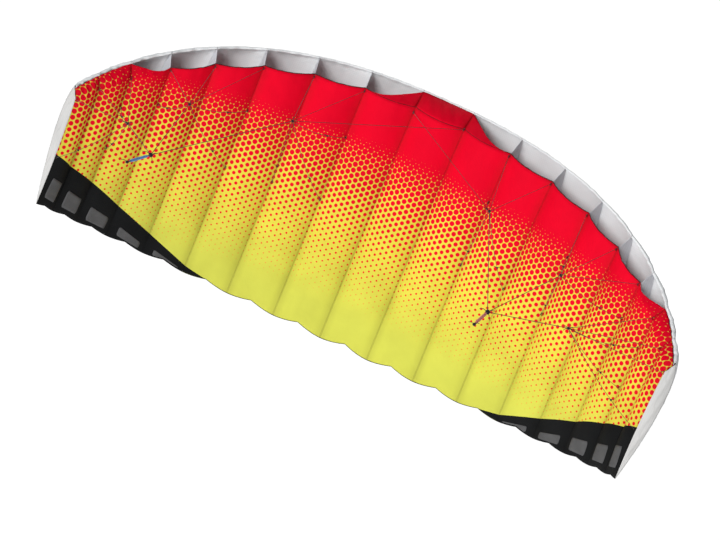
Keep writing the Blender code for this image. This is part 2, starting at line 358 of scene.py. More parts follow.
class Finish:
    """A fabric finish built up from nodes, one step at a time."""

    def __init__(self, name, roughness=0.75, sheen=0.08, specular=0.15):
        self.made = bpy.data.materials.new(name)
        self.made.use_nodes = True
        self.tree = self.made.node_tree
        self.shader = self.tree.nodes["Principled BSDF"]
        self.shader.inputs["Roughness"].default_value = roughness
        self.shader.inputs["Sheen Weight"].default_value = sheen
        self.shader.inputs["Specular IOR Level"].default_value = specular

    def node(self, kind, *inputs, **settings):
        made = self.tree.nodes.new(kind)
        for key, value in settings.items():
            setattr(made, key, value)
        for number, value in enumerate(inputs):
            if value is None:
                continue
            if hasattr(value, "is_linked"):
                self.tree.links.new(value, made.inputs[number])
            else:
                made.inputs[number].default_value = value
        return made

    def math(self, operation, a, b=None, c=None):
        return self.node("ShaderNodeMath", a, b, c, operation=operation).outputs[0]

    def mix(self, share, first, second):
        made = self.tree.nodes.new("ShaderNodeMix")
        made.data_type = "RGBA"
        for socket, value in ((made.inputs[0], share), (made.inputs[6], first), (made.inputs[7], second)):
            if hasattr(value, "is_linked"):
                self.tree.links.new(value, socket)
            else:
                socket.default_value = (*value, 1.0) if isinstance(value, tuple) else value
        return made.outputs[2]

    def attribute(self, name):
        return self.node("ShaderNodeAttribute", attribute_name=name).outputs["Fac"]

    def place(self):
        """The place on the flat cloth, in metres: across and along."""
        return self.node("ShaderNodeUVMap", uv_map="print").outputs[0]

    def smooth(self, value, low, high):
        made = self.node("ShaderNodeMapRange", value, low, high, 0.0, 1.0, interpolation_type="SMOOTHSTEP")
        return made.outputs[0]

    def noise(self, vector, scale, detail=2.0):
        made = self.tree.nodes.new("ShaderNodeTexNoise")
        made.inputs["Scale"].default_value = scale
        made.inputs["Detail"].default_value = detail
        self.tree.links.new(vector, made.inputs["Vector"])
        return made.outputs["Fac"]

    def raise_by(self, level, strength, distance):
        """Threads and crinkles too fine for the mesh stand up in the light."""
        bump = self.tree.nodes.new("ShaderNodeBump")
        bump.inputs["Strength"].default_value = strength
        bump.inputs["Distance"].default_value = distance
        self.tree.links.new(level, bump.inputs["Height"])
        self.tree.links.new(bump.outputs[0], self.shader.inputs["Normal"])

    def ripstop(self, vector, square=0.0055, height=0.35):
        """The raised threads of ripstop cloth every few millimetres, over a fine plain weave."""
        split = self.node("ShaderNodeSeparateXYZ", vector)
        ridges = []
        for side in (0, 1):
            turn = self.math("PINGPONG", split.outputs[side], square / 2)
            ridges.append(self.smooth(turn, square * 0.10, 0.0))
        threads = self.math("MAXIMUM", *ridges)
        weave = self.noise(vector, 1800.0, 1.0)
        crinkle = self.noise(vector, 38.0, 3.0)
        level = self.math("MULTIPLY_ADD", threads, 0.10, self.math("MULTIPLY", weave, 0.10))
        level = self.math("MULTIPLY_ADD", crinkle, 0.9, level)
        self.raise_by(level, height, 0.004)
        return threads

    def colour(self, value):
        if hasattr(value, "is_linked"):
            self.tree.links.new(value, self.shader.inputs["Base Color"])
        else:
            self.shader.inputs["Base Color"].default_value = (*value, 1.0)

    def wear(self, colour, vector, low=0.93, high=1.05, scale=9.0):
        """Uneven cloth: slow light and dark patches, as stretched and folded cloth shows."""
        patches = self.noise(vector, scale, 3.0)
        level = self.node("ShaderNodeMapRange", patches, 0.3, 0.7, low, high).outputs[0]
        made = self.tree.nodes.new("ShaderNodeVectorMath")
        made.operation = "SCALE"
        self.tree.links.new(colour, made.inputs[0])
        self.tree.links.new(level, made.inputs["Scale"])
        return made.outputs[0]

    def stitched_with_painted_shade(self, colour, thread, start=0.0022, stitch=0.0038, shade_reach=0.026):
        """A row of lock stitches beside each seam, with painted shade: the cloth darkens towards the seam,
        and most in the dip right at it.
        """
        seam = self.attribute("seam")
        along = self.node("ShaderNodeSeparateXYZ", self.place()).outputs[1]
        row = self.math("COMPARE", seam, start, 0.0005)
        gaps = self.math("COMPARE", self.math("PINGPONG", along, stitch / 2), stitch * 0.30, stitch * 0.18)
        sewn = self.math("MULTIPLY", row, gaps)
        # Painted shade: a band of cloth beside each seam, and the dip at the seam itself, is mixed towards
        # the dark thread colour. It stands in for the shade of the billowed cells.
        folded = self.smooth(seam, shade_reach, 0.002)
        seam_dip_shade = self.smooth(seam, 0.003, 0.0004)
        share = self.math("MULTIPLY_ADD", folded, 0.13, self.math("MULTIPLY", seam_dip_shade, 0.14))
        shaded = self.mix(share, colour, thread)
        return self.mix(self.math("MULTIPLY", sewn, 0.30), shaded, thread)


def print_cloth():
    """Lime yellow ripstop with crimson dots that grow into solid crimson at the lip, and painted shade beside
    the seams.
    """
    f = Finish("printed_ripstop", sheen=0.0, specular=0.06)
    flat = f.place()
    scale = (1 / PITCH, 1 / PITCH, 1)
    turned = f.node("ShaderNodeMapping", flat, None, (0, 0, LATTICE_TURN), scale).outputs[0]
    half = (math.sqrt(3) / 2, 0.5, 0.5)
    spreads = []
    for shift in ((0, 0, 0), (math.sqrt(3) / 2, 0.5, 0)):
        moved = f.node("ShaderNodeVectorMath", turned, shift, operation="ADD").outputs[0]
        wrapped = f.tree.nodes.new("ShaderNodeVectorMath")
        wrapped.operation = "WRAP"
        f.tree.links.new(moved, wrapped.inputs[0])
        wrapped.inputs[1].default_value = half
        wrapped.inputs[2].default_value = tuple(-v for v in half)
        level = f.node("ShaderNodeVectorMath", wrapped.outputs[0], (1, 1, 0), operation="MULTIPLY").outputs[0]
        spreads.append(f.node("ShaderNodeVectorMath", level, operation="LENGTH").outputs["Value"])
    distance = f.math("MINIMUM", *spreads)
    radius = f.attribute("dot")
    edge = f.math("SUBTRACT", radius, distance)
    ink = f.smooth(edge, -DOT_RIM, DOT_RIM)
    ink = f.math("MULTIPLY", ink, f.smooth(radius, *DOT_FADE))
    height = f.node("ShaderNodeSeparateXYZ", flat).outputs[1]
    ground = f.mix(f.smooth(height, *LIME_HEIGHTS), LEMON, LIME)
    dots = f.mix(f.smooth(radius, *DOT_REDDEN), ORANGE, CRIMSON)
    colour = f.wear(f.mix(ink, ground, dots), flat)
    f.ripstop(flat)
    # Stitches beside each seam, and painted shade that darkens the cloth towards this dark brown near each
    # seam
    f.colour(f.stitched_with_painted_shade(colour, (0.05, 0.02, 0.01)))
    return f.made


def black_cloth():
    """Black ripstop, with the squares of its threads a little lighter, and painted shade beside the seams."""
    f = Finish("black_ripstop", roughness=0.7, sheen=0.0, specular=0.06)
    flat = f.place()
    threads = f.ripstop(flat, height=0.3)
    worn = f.mix(f.math("MULTIPLY", threads, 0.5), BLACK, BLACK_THREAD)
    f.colour(f.stitched_with_painted_shade(f.wear(worn, flat, 0.8, 1.3), (0.002, 0.002, 0.002)))
    return f.made


print_finish = print_cloth()
black_finish = black_cloth()
LOWER_COLUMNS = [0.5 - 0.5 * math.cos(math.pi * i / 22) for i in range(23)]
PRINT_ROWS = 56
BLACK_ROWS = 14


def lower_panel(cell):
    has_black = min(cell, CELLS - 1 - cell) < len(BLACK_SHARES) - 1

    def back_of(across, row):
        """Rows run evenly from the lip to the black cloth, then on to the tail."""
        if not has_black:
            return row / (PRINT_ROWS + BLACK_ROWS)
        along = station(cell, across)[3]
        chord = lip_height(along) - tail_height(along)
        printed = chord * (1 - black_share(cell, across))
        border = min(0.998, printed / (chord - tail_notch(along, across)))
        if row <= PRINT_ROWS:
            return border * row / PRINT_ROWS
        return border + (1 - border) * (row - PRINT_ROWS) / BLACK_ROWS

    def point(across, row):
        return lower_point(cell, across, back_of(across, row))

    def values(across, row):
        along = station(cell, across)[3]
        tail = tail_height(along) + tail_notch(along, across)
        height = lip_height(along) + (tail - lip_height(along)) * back_of(across, row)
        print_place = CELL_STARTS[cell] + cloth_run(cell, across) - CLOTH_MIDDLE
        from_seam = min(across, 1 - across) * cell_width(cell)
        return print_place, height, dot_radius(along, height), from_seam

    rows = range(PRINT_ROWS + BLACK_ROWS + 1)
    mesh = grid_mesh(f"lower_panel_{cell + 1:02d}_cloth", LOWER_COLUMNS, rows, point, values)
    piece = add_piece(mesh.name, mesh, print_finish, black_finish)
    if has_black:
        faces_across = len(LOWER_COLUMNS) - 1
        for face in mesh.polygons:
            face.material_index = int(face.index // faces_across >= PRINT_ROWS)
    thicken(piece, CLOTH_THICKNESS)
    fasten(piece, cell)
    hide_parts(f"lower_panel_{cell + 1:02d}")
    along = station(cell, 0.5)[3]
    chord = lip_height(along) - tail_height(along)
    cloth_run(cell, 1.0)


for cell in range(CELLS):
    lower_panel(cell)


# The upper skin: seventeen panels of thin white ripstop that run from the nose to the tail.
# The nose edge reaches forward past the lip, so the mouths show its pale inside face.
CENTRE_DEPTH = 0.085
TIP_DEPTH = 0.034
CENTRE_NOSE = 0.046
TIP_NOSE = 0.030
NOSE_START = 0.04
NOSE_SAG = 0.004
UPPER_BILLOW = 0.022
UPPER_PUCKER = 1.3
UPPER_PUCKER_REACH = 0.13
SKIN_GAP = 0.0014
HEM_BULGE = 0.006
HEM_CRINKLE = 0.0012
HEM_THICKNESS = 0.0006
# The hem's place on the flat cloth: how far above the lip it starts, and how deep it is
HEM_PRINT = (0.05, 0.01)
# Where the nose hem ends, as a share of the mouth's height, at the centre and at the tips
MOUTH_TOP_CENTRE = 0.90
MOUTH_TOP_TIP = 0.74
WHITE = (0.92, 0.945, 0.955)
# The seams' grey thread, which is also the colour that the painted shade beside the seams darkens towards
GREY_THREAD_AND_SHADE = (0.45, 0.46, 0.49)
UPPER_COLUMNS = [0.5 - 0.5 * math.cos(math.pi * i / 16) for i in range(17)]
UPPER_ROWS = [share ** 1.5 for share in evenly(48)]


def nose_height(along):
    share = span_share(along) ** 2
    return lip_height(along) + CENTRE_NOSE + (TIP_NOSE - CENTRE_NOSE) * share


def section_depth(along):
    return CENTRE_DEPTH + (TIP_DEPTH - CENTRE_DEPTH) * span_share(along) ** 2


def thickness_curve(back):
    """The classic four-digit thickness curve, 0 at both ends and 1 at its deepest, cut off at the nose."""
    u = NOSE_START + (1 - NOSE_START) * back
    return 10 * (0.2969 * math.sqrt(u) - 0.1260 * u - 0.3516 * u**2 + 0.2843 * u**3 - 0.1036 * u**4)


def upper_point(cell, across, back, lift=0.0):
    spot = station(cell, across)
    along = spot[3]
    ease = tail_ease(back)
    billow = UPPER_BILLOW * swell_share(along) * hump(across) * ease
    puckers = pucker(cell, across, back, UPPER_PUCKER_REACH) * UPPER_PUCKER
    gathers = (puckers + lip_creases(cell + 5, across, back)) * ease
    h = SKIN_GAP + section_depth(along) * thickness_curve(back) + billow + gathers + lift
    nose = nose_height(along) - NOSE_SAG * hump(across) * math.exp(-back / SAG_REACH)
    tail = tail_height(along) + tail_notch(along, across)
    return place(spot, h, nose + (tail - nose) * back)


def plain_values(cell, across, back):
    """Cloth with no print: its place and its distance from the seam."""
    along = station(cell, across)[3]
    height = lip_height(along) + (tail_height(along) - lip_height(along)) * back
    print_place = CELL_STARTS[cell] + cloth_run(cell, across) - CLOTH_MIDDLE
    return print_place, height, 0.0, min(across, 1 - across) * cell_width(cell)


def white_cloth():
    """Thin white ripstop with grey thread at the seams, and painted grey shade beside them."""
    f = Finish("white_ripstop", sheen=0.03, specular=0.2)
    flat = f.place()
    threads = f.ripstop(flat)
    ground = f.mix(threads, WHITE, tuple(v * 0.93 for v in WHITE))
    f.colour(f.stitched_with_painted_shade(f.wear(ground, flat, 0.95, 1.04), GREY_THREAD_AND_SHADE))
    return f.made


white_finish = white_cloth()


def mouth_top(along):
    """Where the white nose hem ends, as a share of the mouth's height: the hem is wider at the tips."""
    return MOUTH_TOP_CENTRE + (MOUTH_TOP_TIP - MOUTH_TOP_CENTRE) * span_share(along) ** 3


def mouth_size(along):
    """From the lip to the nose edge, straight across the mouth."""
    return math.hypot(nose_height(along) - lip_height(along), section_depth(along) * thickness_curve(0.0))


def nose_forward(spot):
    """The way a mouth faces: up and towards the flyer."""
    return Vector((0, 0, 1)) * 0.75 - Vector((math.sin(spot[2]), math.cos(spot[2]), 0)) * 0.65


def nose_hem(cell):
    """A doubled white strip that folds down over the top of the mouth."""
    def point(across, down):
        low, high = lower_point(cell, across, 0.0), upper_point(cell, across, 0.0)
        spot = station(cell, across)
        reach = 1 - (1 - mouth_top(spot[3])) * down
        crinkle = HEM_CRINKLE * math.sin(47 * across + 1.3 * cell) * math.sin(23 * across + 2 * down)
        rolled = HEM_BULGE * math.sin(math.pi * (0.06 + 0.88 * down)) * (0.5 + 0.5 * hump(across))
        return low + (high - low) * reach + nose_forward(spot) * (rolled + crinkle)

    def values(across, down):
        print_place, height, dot, seam = plain_values(cell, across, 0.0)
        return print_place, height + HEM_PRINT[0] - HEM_PRINT[1] * down, dot, seam

    mesh = grid_mesh(f"nose_hem_{cell + 1:02d}", evenly(24), evenly(6), point, values)
    hem = thicken(add_piece(mesh.name, mesh, white_finish), HEM_THICKNESS)
    fasten(hem, cell)
    return hem


def upper_panel(cell):
    mesh = grid_mesh(
        f"upper_panel_{cell + 1:02d}",
        UPPER_COLUMNS,
        UPPER_ROWS,
        lambda across, back: upper_point(cell, across, back),
        lambda across, back: plain_values(cell, across, back),
    )
    piece = thicken(add_piece(mesh.name, mesh, white_finish), CLOTH_THICKNESS)
    fasten(piece, cell)
    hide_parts(f"upper_skin_{section_of(cell)}")
    along = station(cell, 0.5)[3]
    chord = nose_height(along) - tail_height(along)
    cloth_run(cell, 1.0)
    nose_hem(cell)


for cell in range(CELLS):
    upper_panel(cell)


# The ribs: ripstop walls between the cells, with round vents that share the air. Their light bluish grey is
# painted shade for the dim inside of the cells.
# The sixteen inner ones keep the frame's own shape.
# The two tip ribs are side walls that the air bows outward.
# Painted shade: the ribs' pale cloth is coloured a light bluish grey, as it looks in the shade inside the
# cells
RIB_SHADE_GREY = (0.68, 0.69, 0.73)
WALL_GREY = (0.62, 0.615, 0.605)
WALL_BOW = 0.005
WALL_CREASE = 0.0012


def rib_cloth(name, colour):
    f = Finish(name, roughness=0.8, sheen=0.1)
    flat = f.node("ShaderNodeTexCoord").outputs["Object"]
    threads = f.ripstop(flat, height=0.25)
    f.colour(f.wear(f.mix(threads, colour, tuple(v * 0.9 for v in colour)), flat, 0.92, 1.06))
    return f.made


shaded_rib_finish = rib_cloth("rib_ripstop_painted_shade", RIB_SHADE_GREY)
wall_finish = rib_cloth("side_wall_ripstop", WALL_GREY)
for number in range(2, CELLS + 1):
    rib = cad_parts[f"rib_{number:02d}"]
    rib.data.materials.clear()
    rib.data.materials.append(shaded_rib_finish)


def side_wall(rib, cell, across):
    lean = RIBS[rib][2]
    side = -1 if rib == 0 else 1
    outward = Vector((math.cos(lean), -math.sin(lean), 0)) * side
    rows = [share ** 1.3 for share in evenly(40)]

    def point(up, back):
        low = lower_point(cell, across, back)
        high = upper_point(cell, across, back)
        bow = WALL_BOW * hump(up) * tail_ease(back, 5) * (0.55 + 0.45 * hump(min(1.0, back * 1.6)))
        crease = WALL_CREASE * math.sin(24 * back + 9 * up) * hump(up) * tail_ease(back, 6)
        return low + (high - low) * up + outward * (bow + crease)

    mesh = grid_mesh(f"side_wall_{rib + 1:02d}", evenly(10), rows, point)
    wall = thicken(add_piece(mesh.name, mesh, wall_finish), CLOTH_THICKNESS)
    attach(wall, section_of(cell))
    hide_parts(f"rib_{rib + 1:02d}")
    along = RIBS[rib][3]
    chord = nose_height(along) - tail_height(along)


side_wall(0, 0, 0.0)
side_wall(CELLS, CELLS - 1, 1.0)


# The nose covers: printed ripstop sewn across the mouths of the centre cell and the tip cells.
# In the cell beside each one the cover narrows on a curve, from the full mouth down to the lip.
COVER_BULGE = 0.010
COVER_CREASE = 0.0020
COVER_STRETCH = 1.1
COVER_TAPER = 2.1
TAPER_BULGE = 0.006
TAPER_FOOT = 0.004
COVERS = {
    "nose_cover_left_tip": ((0, None), (1, None), (2, "fall")),
    "nose_cover_centre": ((7, "rise"), (8, None), (9, "fall")),
    "nose_cover_right_tip": ((14, "rise"), (15, None), (16, None)),
}


def cover_share(cell, across, taper):
    """How far up the mouth the cover reaches, from 0 at the lip to the hem."""
    top = mouth_top(station(cell, across)[3])
    if taper is None:
        return top
    near = across if taper == "rise" else 1 - across
    return top * (TAPER_FOOT + (1 - TAPER_FOOT) * near**COVER_TAPER)


def cover_panel(name, cell, taper):
    def point(across, up):
        share = cover_share(cell, across, taper)
        reach = up * share
        low, high = lower_point(cell, across, 0.0), upper_point(cell, across, 0.0)
        waves = math.sin(31 * across + 2.1 * cell + 7 * up) * math.sin(math.pi * up)
        creases = COVER_CREASE * waves * hump(across)
        full = COVER_BULGE * math.sqrt(hump(across)) if taper is None else TAPER_BULGE * hump(across)
        bulge = hump(reach) * full
        return low + (high - low) * reach + nose_forward(station(cell, across)) * (bulge + creases * share)

    def values(across, up):
        print_place, height, _, seam = plain_values(cell, across, 0.0)
        along = station(cell, across)[3]
        reach = up * cover_share(cell, across, taper)
        rise = reach * (nose_height(along) - height)
        inked = dot_radius(along, height + rise)
        return print_place, height + reach * COVER_STRETCH * mouth_size(along), inked, seam

    mesh = grid_mesh(f"{name}_panel_{cell + 1:02d}", evenly(20), evenly(10), point, values)
    piece = thicken(add_piece(mesh.name, mesh, print_finish), CLOTH_THICKNESS)
    fasten(piece, cell)
    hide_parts(name)
    along = station(cell, 0.5)[3]
    tall = mouth_size(along) * mouth_top(along)
    wide = cloth_run(cell, 1.0)


for name, panels in COVERS.items():
    for cell, taper in panels:
        cover_panel(name, cell, taper)


# Edge bindings: folded dark tape sewn over the lip of the mouths and over the tail of every cell.
# The lip under the centre nose cover has a narrower tape, and the lips under the tip covers have none.
TAPE_WIDTH = 0.0026
TAPE_THICKNESS = 0.0011
TAIL_TAPE_LIFT = 0.001
UNTAPED_CELLS = (0, 1, 2, 14, 15, 16)
NARROW_CELLS = (7, 8, 9)
BLACK_TAILS = 5
EDGE_STEPS = evenly(16)


def tape_finish(name, colour):
    """Ribbed tape, with painted shade in the grooves between its ribs."""
    f = Finish(name, roughness=0.85)
    flat = f.node("ShaderNodeTexCoord").outputs["Object"]
    ribs = f.node("ShaderNodeTexWave", flat, 900.0, bands_direction="DIAGONAL").outputs["Fac"]
    # Painted shade: the colour darkens in stripes that follow the ribbing's wave, for the shade in the
    # grooves
    f.colour(f.mix(f.math("MULTIPLY", ribs, 0.35), colour, tuple(v * 0.55 for v in colour)))
    f.raise_by(ribs, 0.3, 0.0004)
    return f.made


def ring_mesh(name, verts, sides):
    """A closed tube from rings of points, with a flat cap at each end."""
    last = len(verts) - sides
    faces = []
    for ring in range(0, last, sides):
        for step in range(sides):
            a, b = ring + step, ring + (step + 1) % sides
            faces.append((a, b, b + sides, a + sides))
    faces.append(tuple(range(sides))[::-1])
    faces.append(tuple(range(last, last + sides)))
    mesh = bpy.data.meshes.new(name)
    mesh.from_pydata(verts, [], faces)
    for face in mesh.polygons:
        face.use_smooth = len(face.vertices) == 4
    return mesh


def ribbon_mesh(name, middles, outs, width, thickness, sides=6):
    """A flattened closed tube along a row of points. outs gives the way its broad side faces at each."""
    verts = []
    last = len(middles) - 1
    for i, (middle, out) in enumerate(zip(middles, outs)):
        run = (middles[min(i + 1, last)] - middles[max(i - 1, 0)]).normalized()
        out = (out - run * out.dot(run)).normalized()
        wide = run.cross(out)
        for step in range(sides):
            angle = 2 * math.pi * step / sides
            verts.append(middle + wide * math.cos(angle) * width / 2 + out * math.sin(angle) * thickness / 2)
    return ring_mesh(name, verts, sides)


lip_tape = tape_finish("dark_lip_tape", (0.035, 0.006, 0.008))
tail_tape = tape_finish("olive_tail_tape", (0.075, 0.082, 0.030))
black_tape = tape_finish("black_tail_tape", (0.010, 0.010, 0.011))


def edge_tape(kind, cell, back, lift, width, finish):
    middles = [lower_point(cell, across, back) + Vector((0, 0, lift)) for across in EDGE_STEPS]
    leans = [station(cell, across)[2] for across in EDGE_STEPS]
    outs = [Vector((-math.sin(lean), -math.cos(lean), 0)) for lean in leans]
    name = f"{kind}_{cell + 1:02d}"
    tape = add_piece(name, ribbon_mesh(name, middles, outs, width, TAPE_THICKNESS), finish)
    fasten(tape, cell)


for cell in range(CELLS):
    if cell not in UNTAPED_CELLS:
        lip_width = TAPE_WIDTH / 2 if cell in NARROW_CELLS else TAPE_WIDTH
        edge_tape("lip_tape", cell, 0.0, 0.0, lip_width, lip_tape)
    tail_finish = black_tape if min(cell, CELLS - 1 - cell) < BLACK_TAILS else tail_tape
    edge_tape("tail_tape", cell, 1.0, TAIL_TAPE_LIFT, TAPE_WIDTH, tail_finish)


# The tail patches: grey open-weave cloth appliquéd on the black tail of the five outer cells of each wing.
# Each is sewn flat on the lower skin, and the innermost is trimmed to a wedge by the tail edge.
PATCH_CELLS = 5
PATCH_LIFT = 0.0007
PATCH_MARGIN = 0.004
PATCH_GREY = (0.092, 0.092, 0.094)
PATCH_HOLE = (0.050, 0.050, 0.052)
PATCH_SIDES = (0.22, 0.86)
PATCH_ROWS = 8
# How far the end row and the one beside it draw in, to round the corners
CORNER_PULL = (0.05, 0.01)
# Heights above the tail edge, by cell from the tip: bottom near the tip side and far side, then top
PATCH_HEIGHTS = (
    (0.027, 0.023, 0.088, 0.084),
    (0.022, 0.019, 0.074, 0.067),
    (0.017, 0.016, 0.060, 0.052),
    (0.015, 0.007, 0.043, 0.026),
    (0.007, 0.005, 0.025, 0.008),
)


def patch_cloth():
    """Open-weave grey cloth: a fine grid of small dark holes."""
    f = Finish("grey_mesh_patch", roughness=0.7, sheen=0.0, specular=0.1)
    flat = f.place()
    split = f.node("ShaderNodeSeparateXYZ", flat)
    turns = [f.math("PINGPONG", split.outputs[side], 0.0007) for side in (0, 1)]
    holes = f.math("MULTIPLY", *[f.smooth(turn, 0.0001, 0.0005) for turn in turns])
    colour = f.mix(f.math("MULTIPLY", holes, 0.5), PATCH_GREY, PATCH_HOLE)
    f.ripstop(flat, height=0.2)
    f.colour(f.wear(colour, flat, 0.88, 1.12, 30.0))
    return f.made


patch_finish = patch_cloth()


def tail_patch(cell):
    left = cell < HALF
    number = cell if left else CELLS - 1 - cell
    bottom_tip, bottom_far, top_tip, top_far = PATCH_HEIGHTS[number]

    def where(share, up):
        from_tip = PATCH_SIDES[0] + (PATCH_SIDES[1] - PATCH_SIDES[0]) * share
        low = bottom_tip + (bottom_far - bottom_tip) * share
        high = top_tip + (top_far - top_tip) * share
        across = from_tip if left else 1 - from_tip
        along = station(cell, across)[3]
        notch = tail_notch(along, across)
        height = max(low + (high - low) * up, notch + PATCH_MARGIN)
        chord = lip_height(along) - tail_height(along)
        return across, 1 - (height - notch) / (chord - notch)

    def rounded(share, up):
        row = round(up * PATCH_ROWS)
        from_end = min(row, PATCH_ROWS - row)
        pull = CORNER_PULL[from_end] if from_end < len(CORNER_PULL) else 0.0
        return pull + share * (1 - 2 * pull), up

    def point(share, up):
        across, back = where(*rounded(share, up))
        return lower_point(cell, across, back, PATCH_LIFT)

    def values(share, up):
        return plain_values(cell, *where(*rounded(share, up)))

    mesh = grid_mesh(f"tail_patch_{cell + 1:02d}", evenly(10), evenly(PATCH_ROWS), point, values)
    piece = thicken(add_piece(mesh.name, mesh, patch_finish), CLOTH_THICKNESS)
    fasten(piece, cell)


for cell in (*range(PATCH_CELLS), *range(CELLS - PATCH_CELLS, CELLS)):
    tail_patch(cell)


# The bridle: thin dark braided lines, looped through black tape tabs on the ribs' seams.
# They gather at a knot for each wing section, and a heavier main line runs from each knot to the tow knot.
TOW_SPACING = 0.884
LINE_RADIUS = 0.0006
MAIN_RADIUS = 0.0008
KNOT_RADIUS = 0.0045
TOW_KNOT_RADIUS = 0.0065
TAB_CLEARANCE = 0.0012
TAB_HEIGHT = 0.008
TAB_HALF = 0.0038
TAB_WIDTH = 0.0028
TAB_THICKNESS = 0.0008
CLOTH = 0.001
HITCH_RADIUS = 0.0030
REAR_SLACK = 0.012
# The two wings' inner groups cross at the middle: each has a tab on the other side's first rib.
CROSS_RIB = 9
CROSS_STAGGER = 0.014
# Rows of tabs, as shares of the chord from the lip
A_ROW, B_ROW, C_ROW, EDGE_ROW = 0.012, 0.21, 0.48, 0.54
# Each group's knot, as a share of the way to the tow knot, and its tabs: the rib from the tip, and the row
GROUPS = {
    "tip": (0.55, [(0, A_ROW), (1, A_ROW), (2, A_ROW), (2, B_ROW), (2, C_ROW), (0, EDGE_ROW)]),
    "mid": (0.45, [(3, A_ROW), (4, A_ROW), (5, A_ROW), (3, B_ROW), (5, B_ROW), (5, C_ROW)]),
    "inner": (0.42, [(6, A_ROW), (7, A_ROW), (9, A_ROW), (7, B_ROW), (6, C_ROW), (7, C_ROW)]),
}


def braid_finish(name, colour, strand_highlight, scale=700.0):
    """A tight diagonal braid, with a painted highlight along each raised strand."""
    f = Finish(name, roughness=0.8, sheen=0.2)
    flat = f.node("ShaderNodeTexCoord").outputs["Object"]
    strand_height_and_highlight = f.node("ShaderNodeTexWave", flat, scale, 2.0, bands_direction="DIAGONAL").outputs["Fac"]
    # Painted highlight: the braid's raised ridges are mixed towards the lighter second colour
    f.colour(f.mix(strand_height_and_highlight, colour, strand_highlight))
    f.raise_by(strand_height_and_highlight, 0.5, 0.0003)
    return f.made


# Each braid's second colour is the painted highlight on its raised ridges
line_finish = braid_finish("dark_braided_line", (0.010, 0.009, 0.009), (0.030, 0.026, 0.024))
tab_finish = braid_finish("black_tab_tape", (0.007, 0.007, 0.008), (0.022, 0.022, 0.024), 1100.0)


def tow_knot(side):
    return Vector((side * TOW_SPACING / 2, 0.0, 0.0))


def rib_of(rib_from_tip, side):
    return rib_from_tip if side < 0 else CELLS - rib_from_tip


def tab_end(rib, back, shift):
    """The middle of a bridle tab's outer edge."""
    along = RIBS[rib][3]
    z = lip_height(along) + (tail_height(along) - lip_height(along)) * back + shift
    return place(RIBS[rib], -belly_depth(along, back) - TAB_CLEARANCE - TAB_HEIGHT + CLOTH, z)


def group_knot(group, side):
    share, tabs = GROUPS[group]
    front = [tab_end(rib_of(rib, side), back, 0.0) for rib, back in tabs if back == A_ROW]
    return (sum(front, Vector()) / len(front)).lerp(tow_knot(side), share)


def hanging_points(start, end, sag, steps):
    """A line from start to end that dips by sag at its middle."""
    return [start.lerp(end, share) - Vector((0, 0, sag * hump(share))) for share in evenly(steps)]


def tube(name, points, radius, sides=6):
    """A round cord. Its first side faces a way that no line runs."""
    outs = [Vector((0.31, 0.17, 0.93))] * len(points)
    return ribbon_mesh(name, points, outs, radius * 2, radius * 2, sides)


def knot_mesh(name, centre, radius, ends):
    """A hitched knot: a lumpy ball of turns, with short cut ends standing off it."""
    bm = bmesh.new()
    bmesh.ops.create_icosphere(bm, subdivisions=3, radius=radius, matrix=Matrix.Translation(centre))
    for vert in bm.verts:
        off = vert.co - centre
        turns = math.sin(off.x / radius * 7 + off.y / radius * 5) * math.cos(off.z / radius * 6)
        vert.co = centre + off * (0.86 + 0.14 * turns)
    for face in bm.faces:
        face.smooth = True
    mesh = bpy.data.meshes.new(name)
    bm.to_mesh(mesh)
    bm.free()
    parts = [mesh]
    for number in range(ends):
        angle = 2.4 * number + 0.6
        way = Vector((math.cos(angle), -0.35 - 0.3 * (number % 2), math.sin(angle)))
        tip = centre + way * radius * 2.9
        middle = centre + way * radius * 1.7 + Vector((0, 0, radius * 0.5))
        parts.append(tube(f"{name}_end_{number}", [centre, middle, tip], LINE_RADIUS * 1.2))
    return parts


def tab_loop(name, rib, back, shift):
    """A short loop of folded tape that stands out of the seam."""
    lean = RIBS[rib][2]
    outer = tab_end(rib, back, shift)
    inward = Vector((math.sin(lean), math.cos(lean), 0))
    root = outer + inward * (TAB_HEIGHT + CLOTH)
    half = Vector((0, 0, TAB_HALF))
    shoulder = outer + inward * 0.002
    corners = [root + half, shoulder + half * 0.9, outer, shoulder - half * 0.9, root - half]
    points = []
    for corner, after in zip(corners, corners[1:]):
        points += [corner.lerp(after, third / 3) for third in range(3)]
    points.append(corners[-1])
    facing = Vector((math.cos(lean), -math.sin(lean), 0)).cross(Vector((0, 0, 1)))
    return ribbon_mesh(name, points, [facing] * len(points), TAB_WIDTH, TAB_THICKNESS)


def joined(name, meshes, *finishes):
    """One mesh from several; each source mesh carries its finish's number."""
    bm = bmesh.new()
    for mesh, number in meshes:
        before = len(bm.faces)
        bm.from_mesh(mesh)
        bm.faces.ensure_lookup_table()
        for face in bm.faces[before:]:
            face.material_index = number
        bpy.data.meshes.remove(mesh)
    whole = bpy.data.meshes.new(name)
    bm.to_mesh(whole)
    bm.free()
    return add_piece(name, whole, *finishes)


def knotted(name, centre, radius, ends):
    return [(mesh, 0) for mesh in knot_mesh(name, centre, radius, ends)]


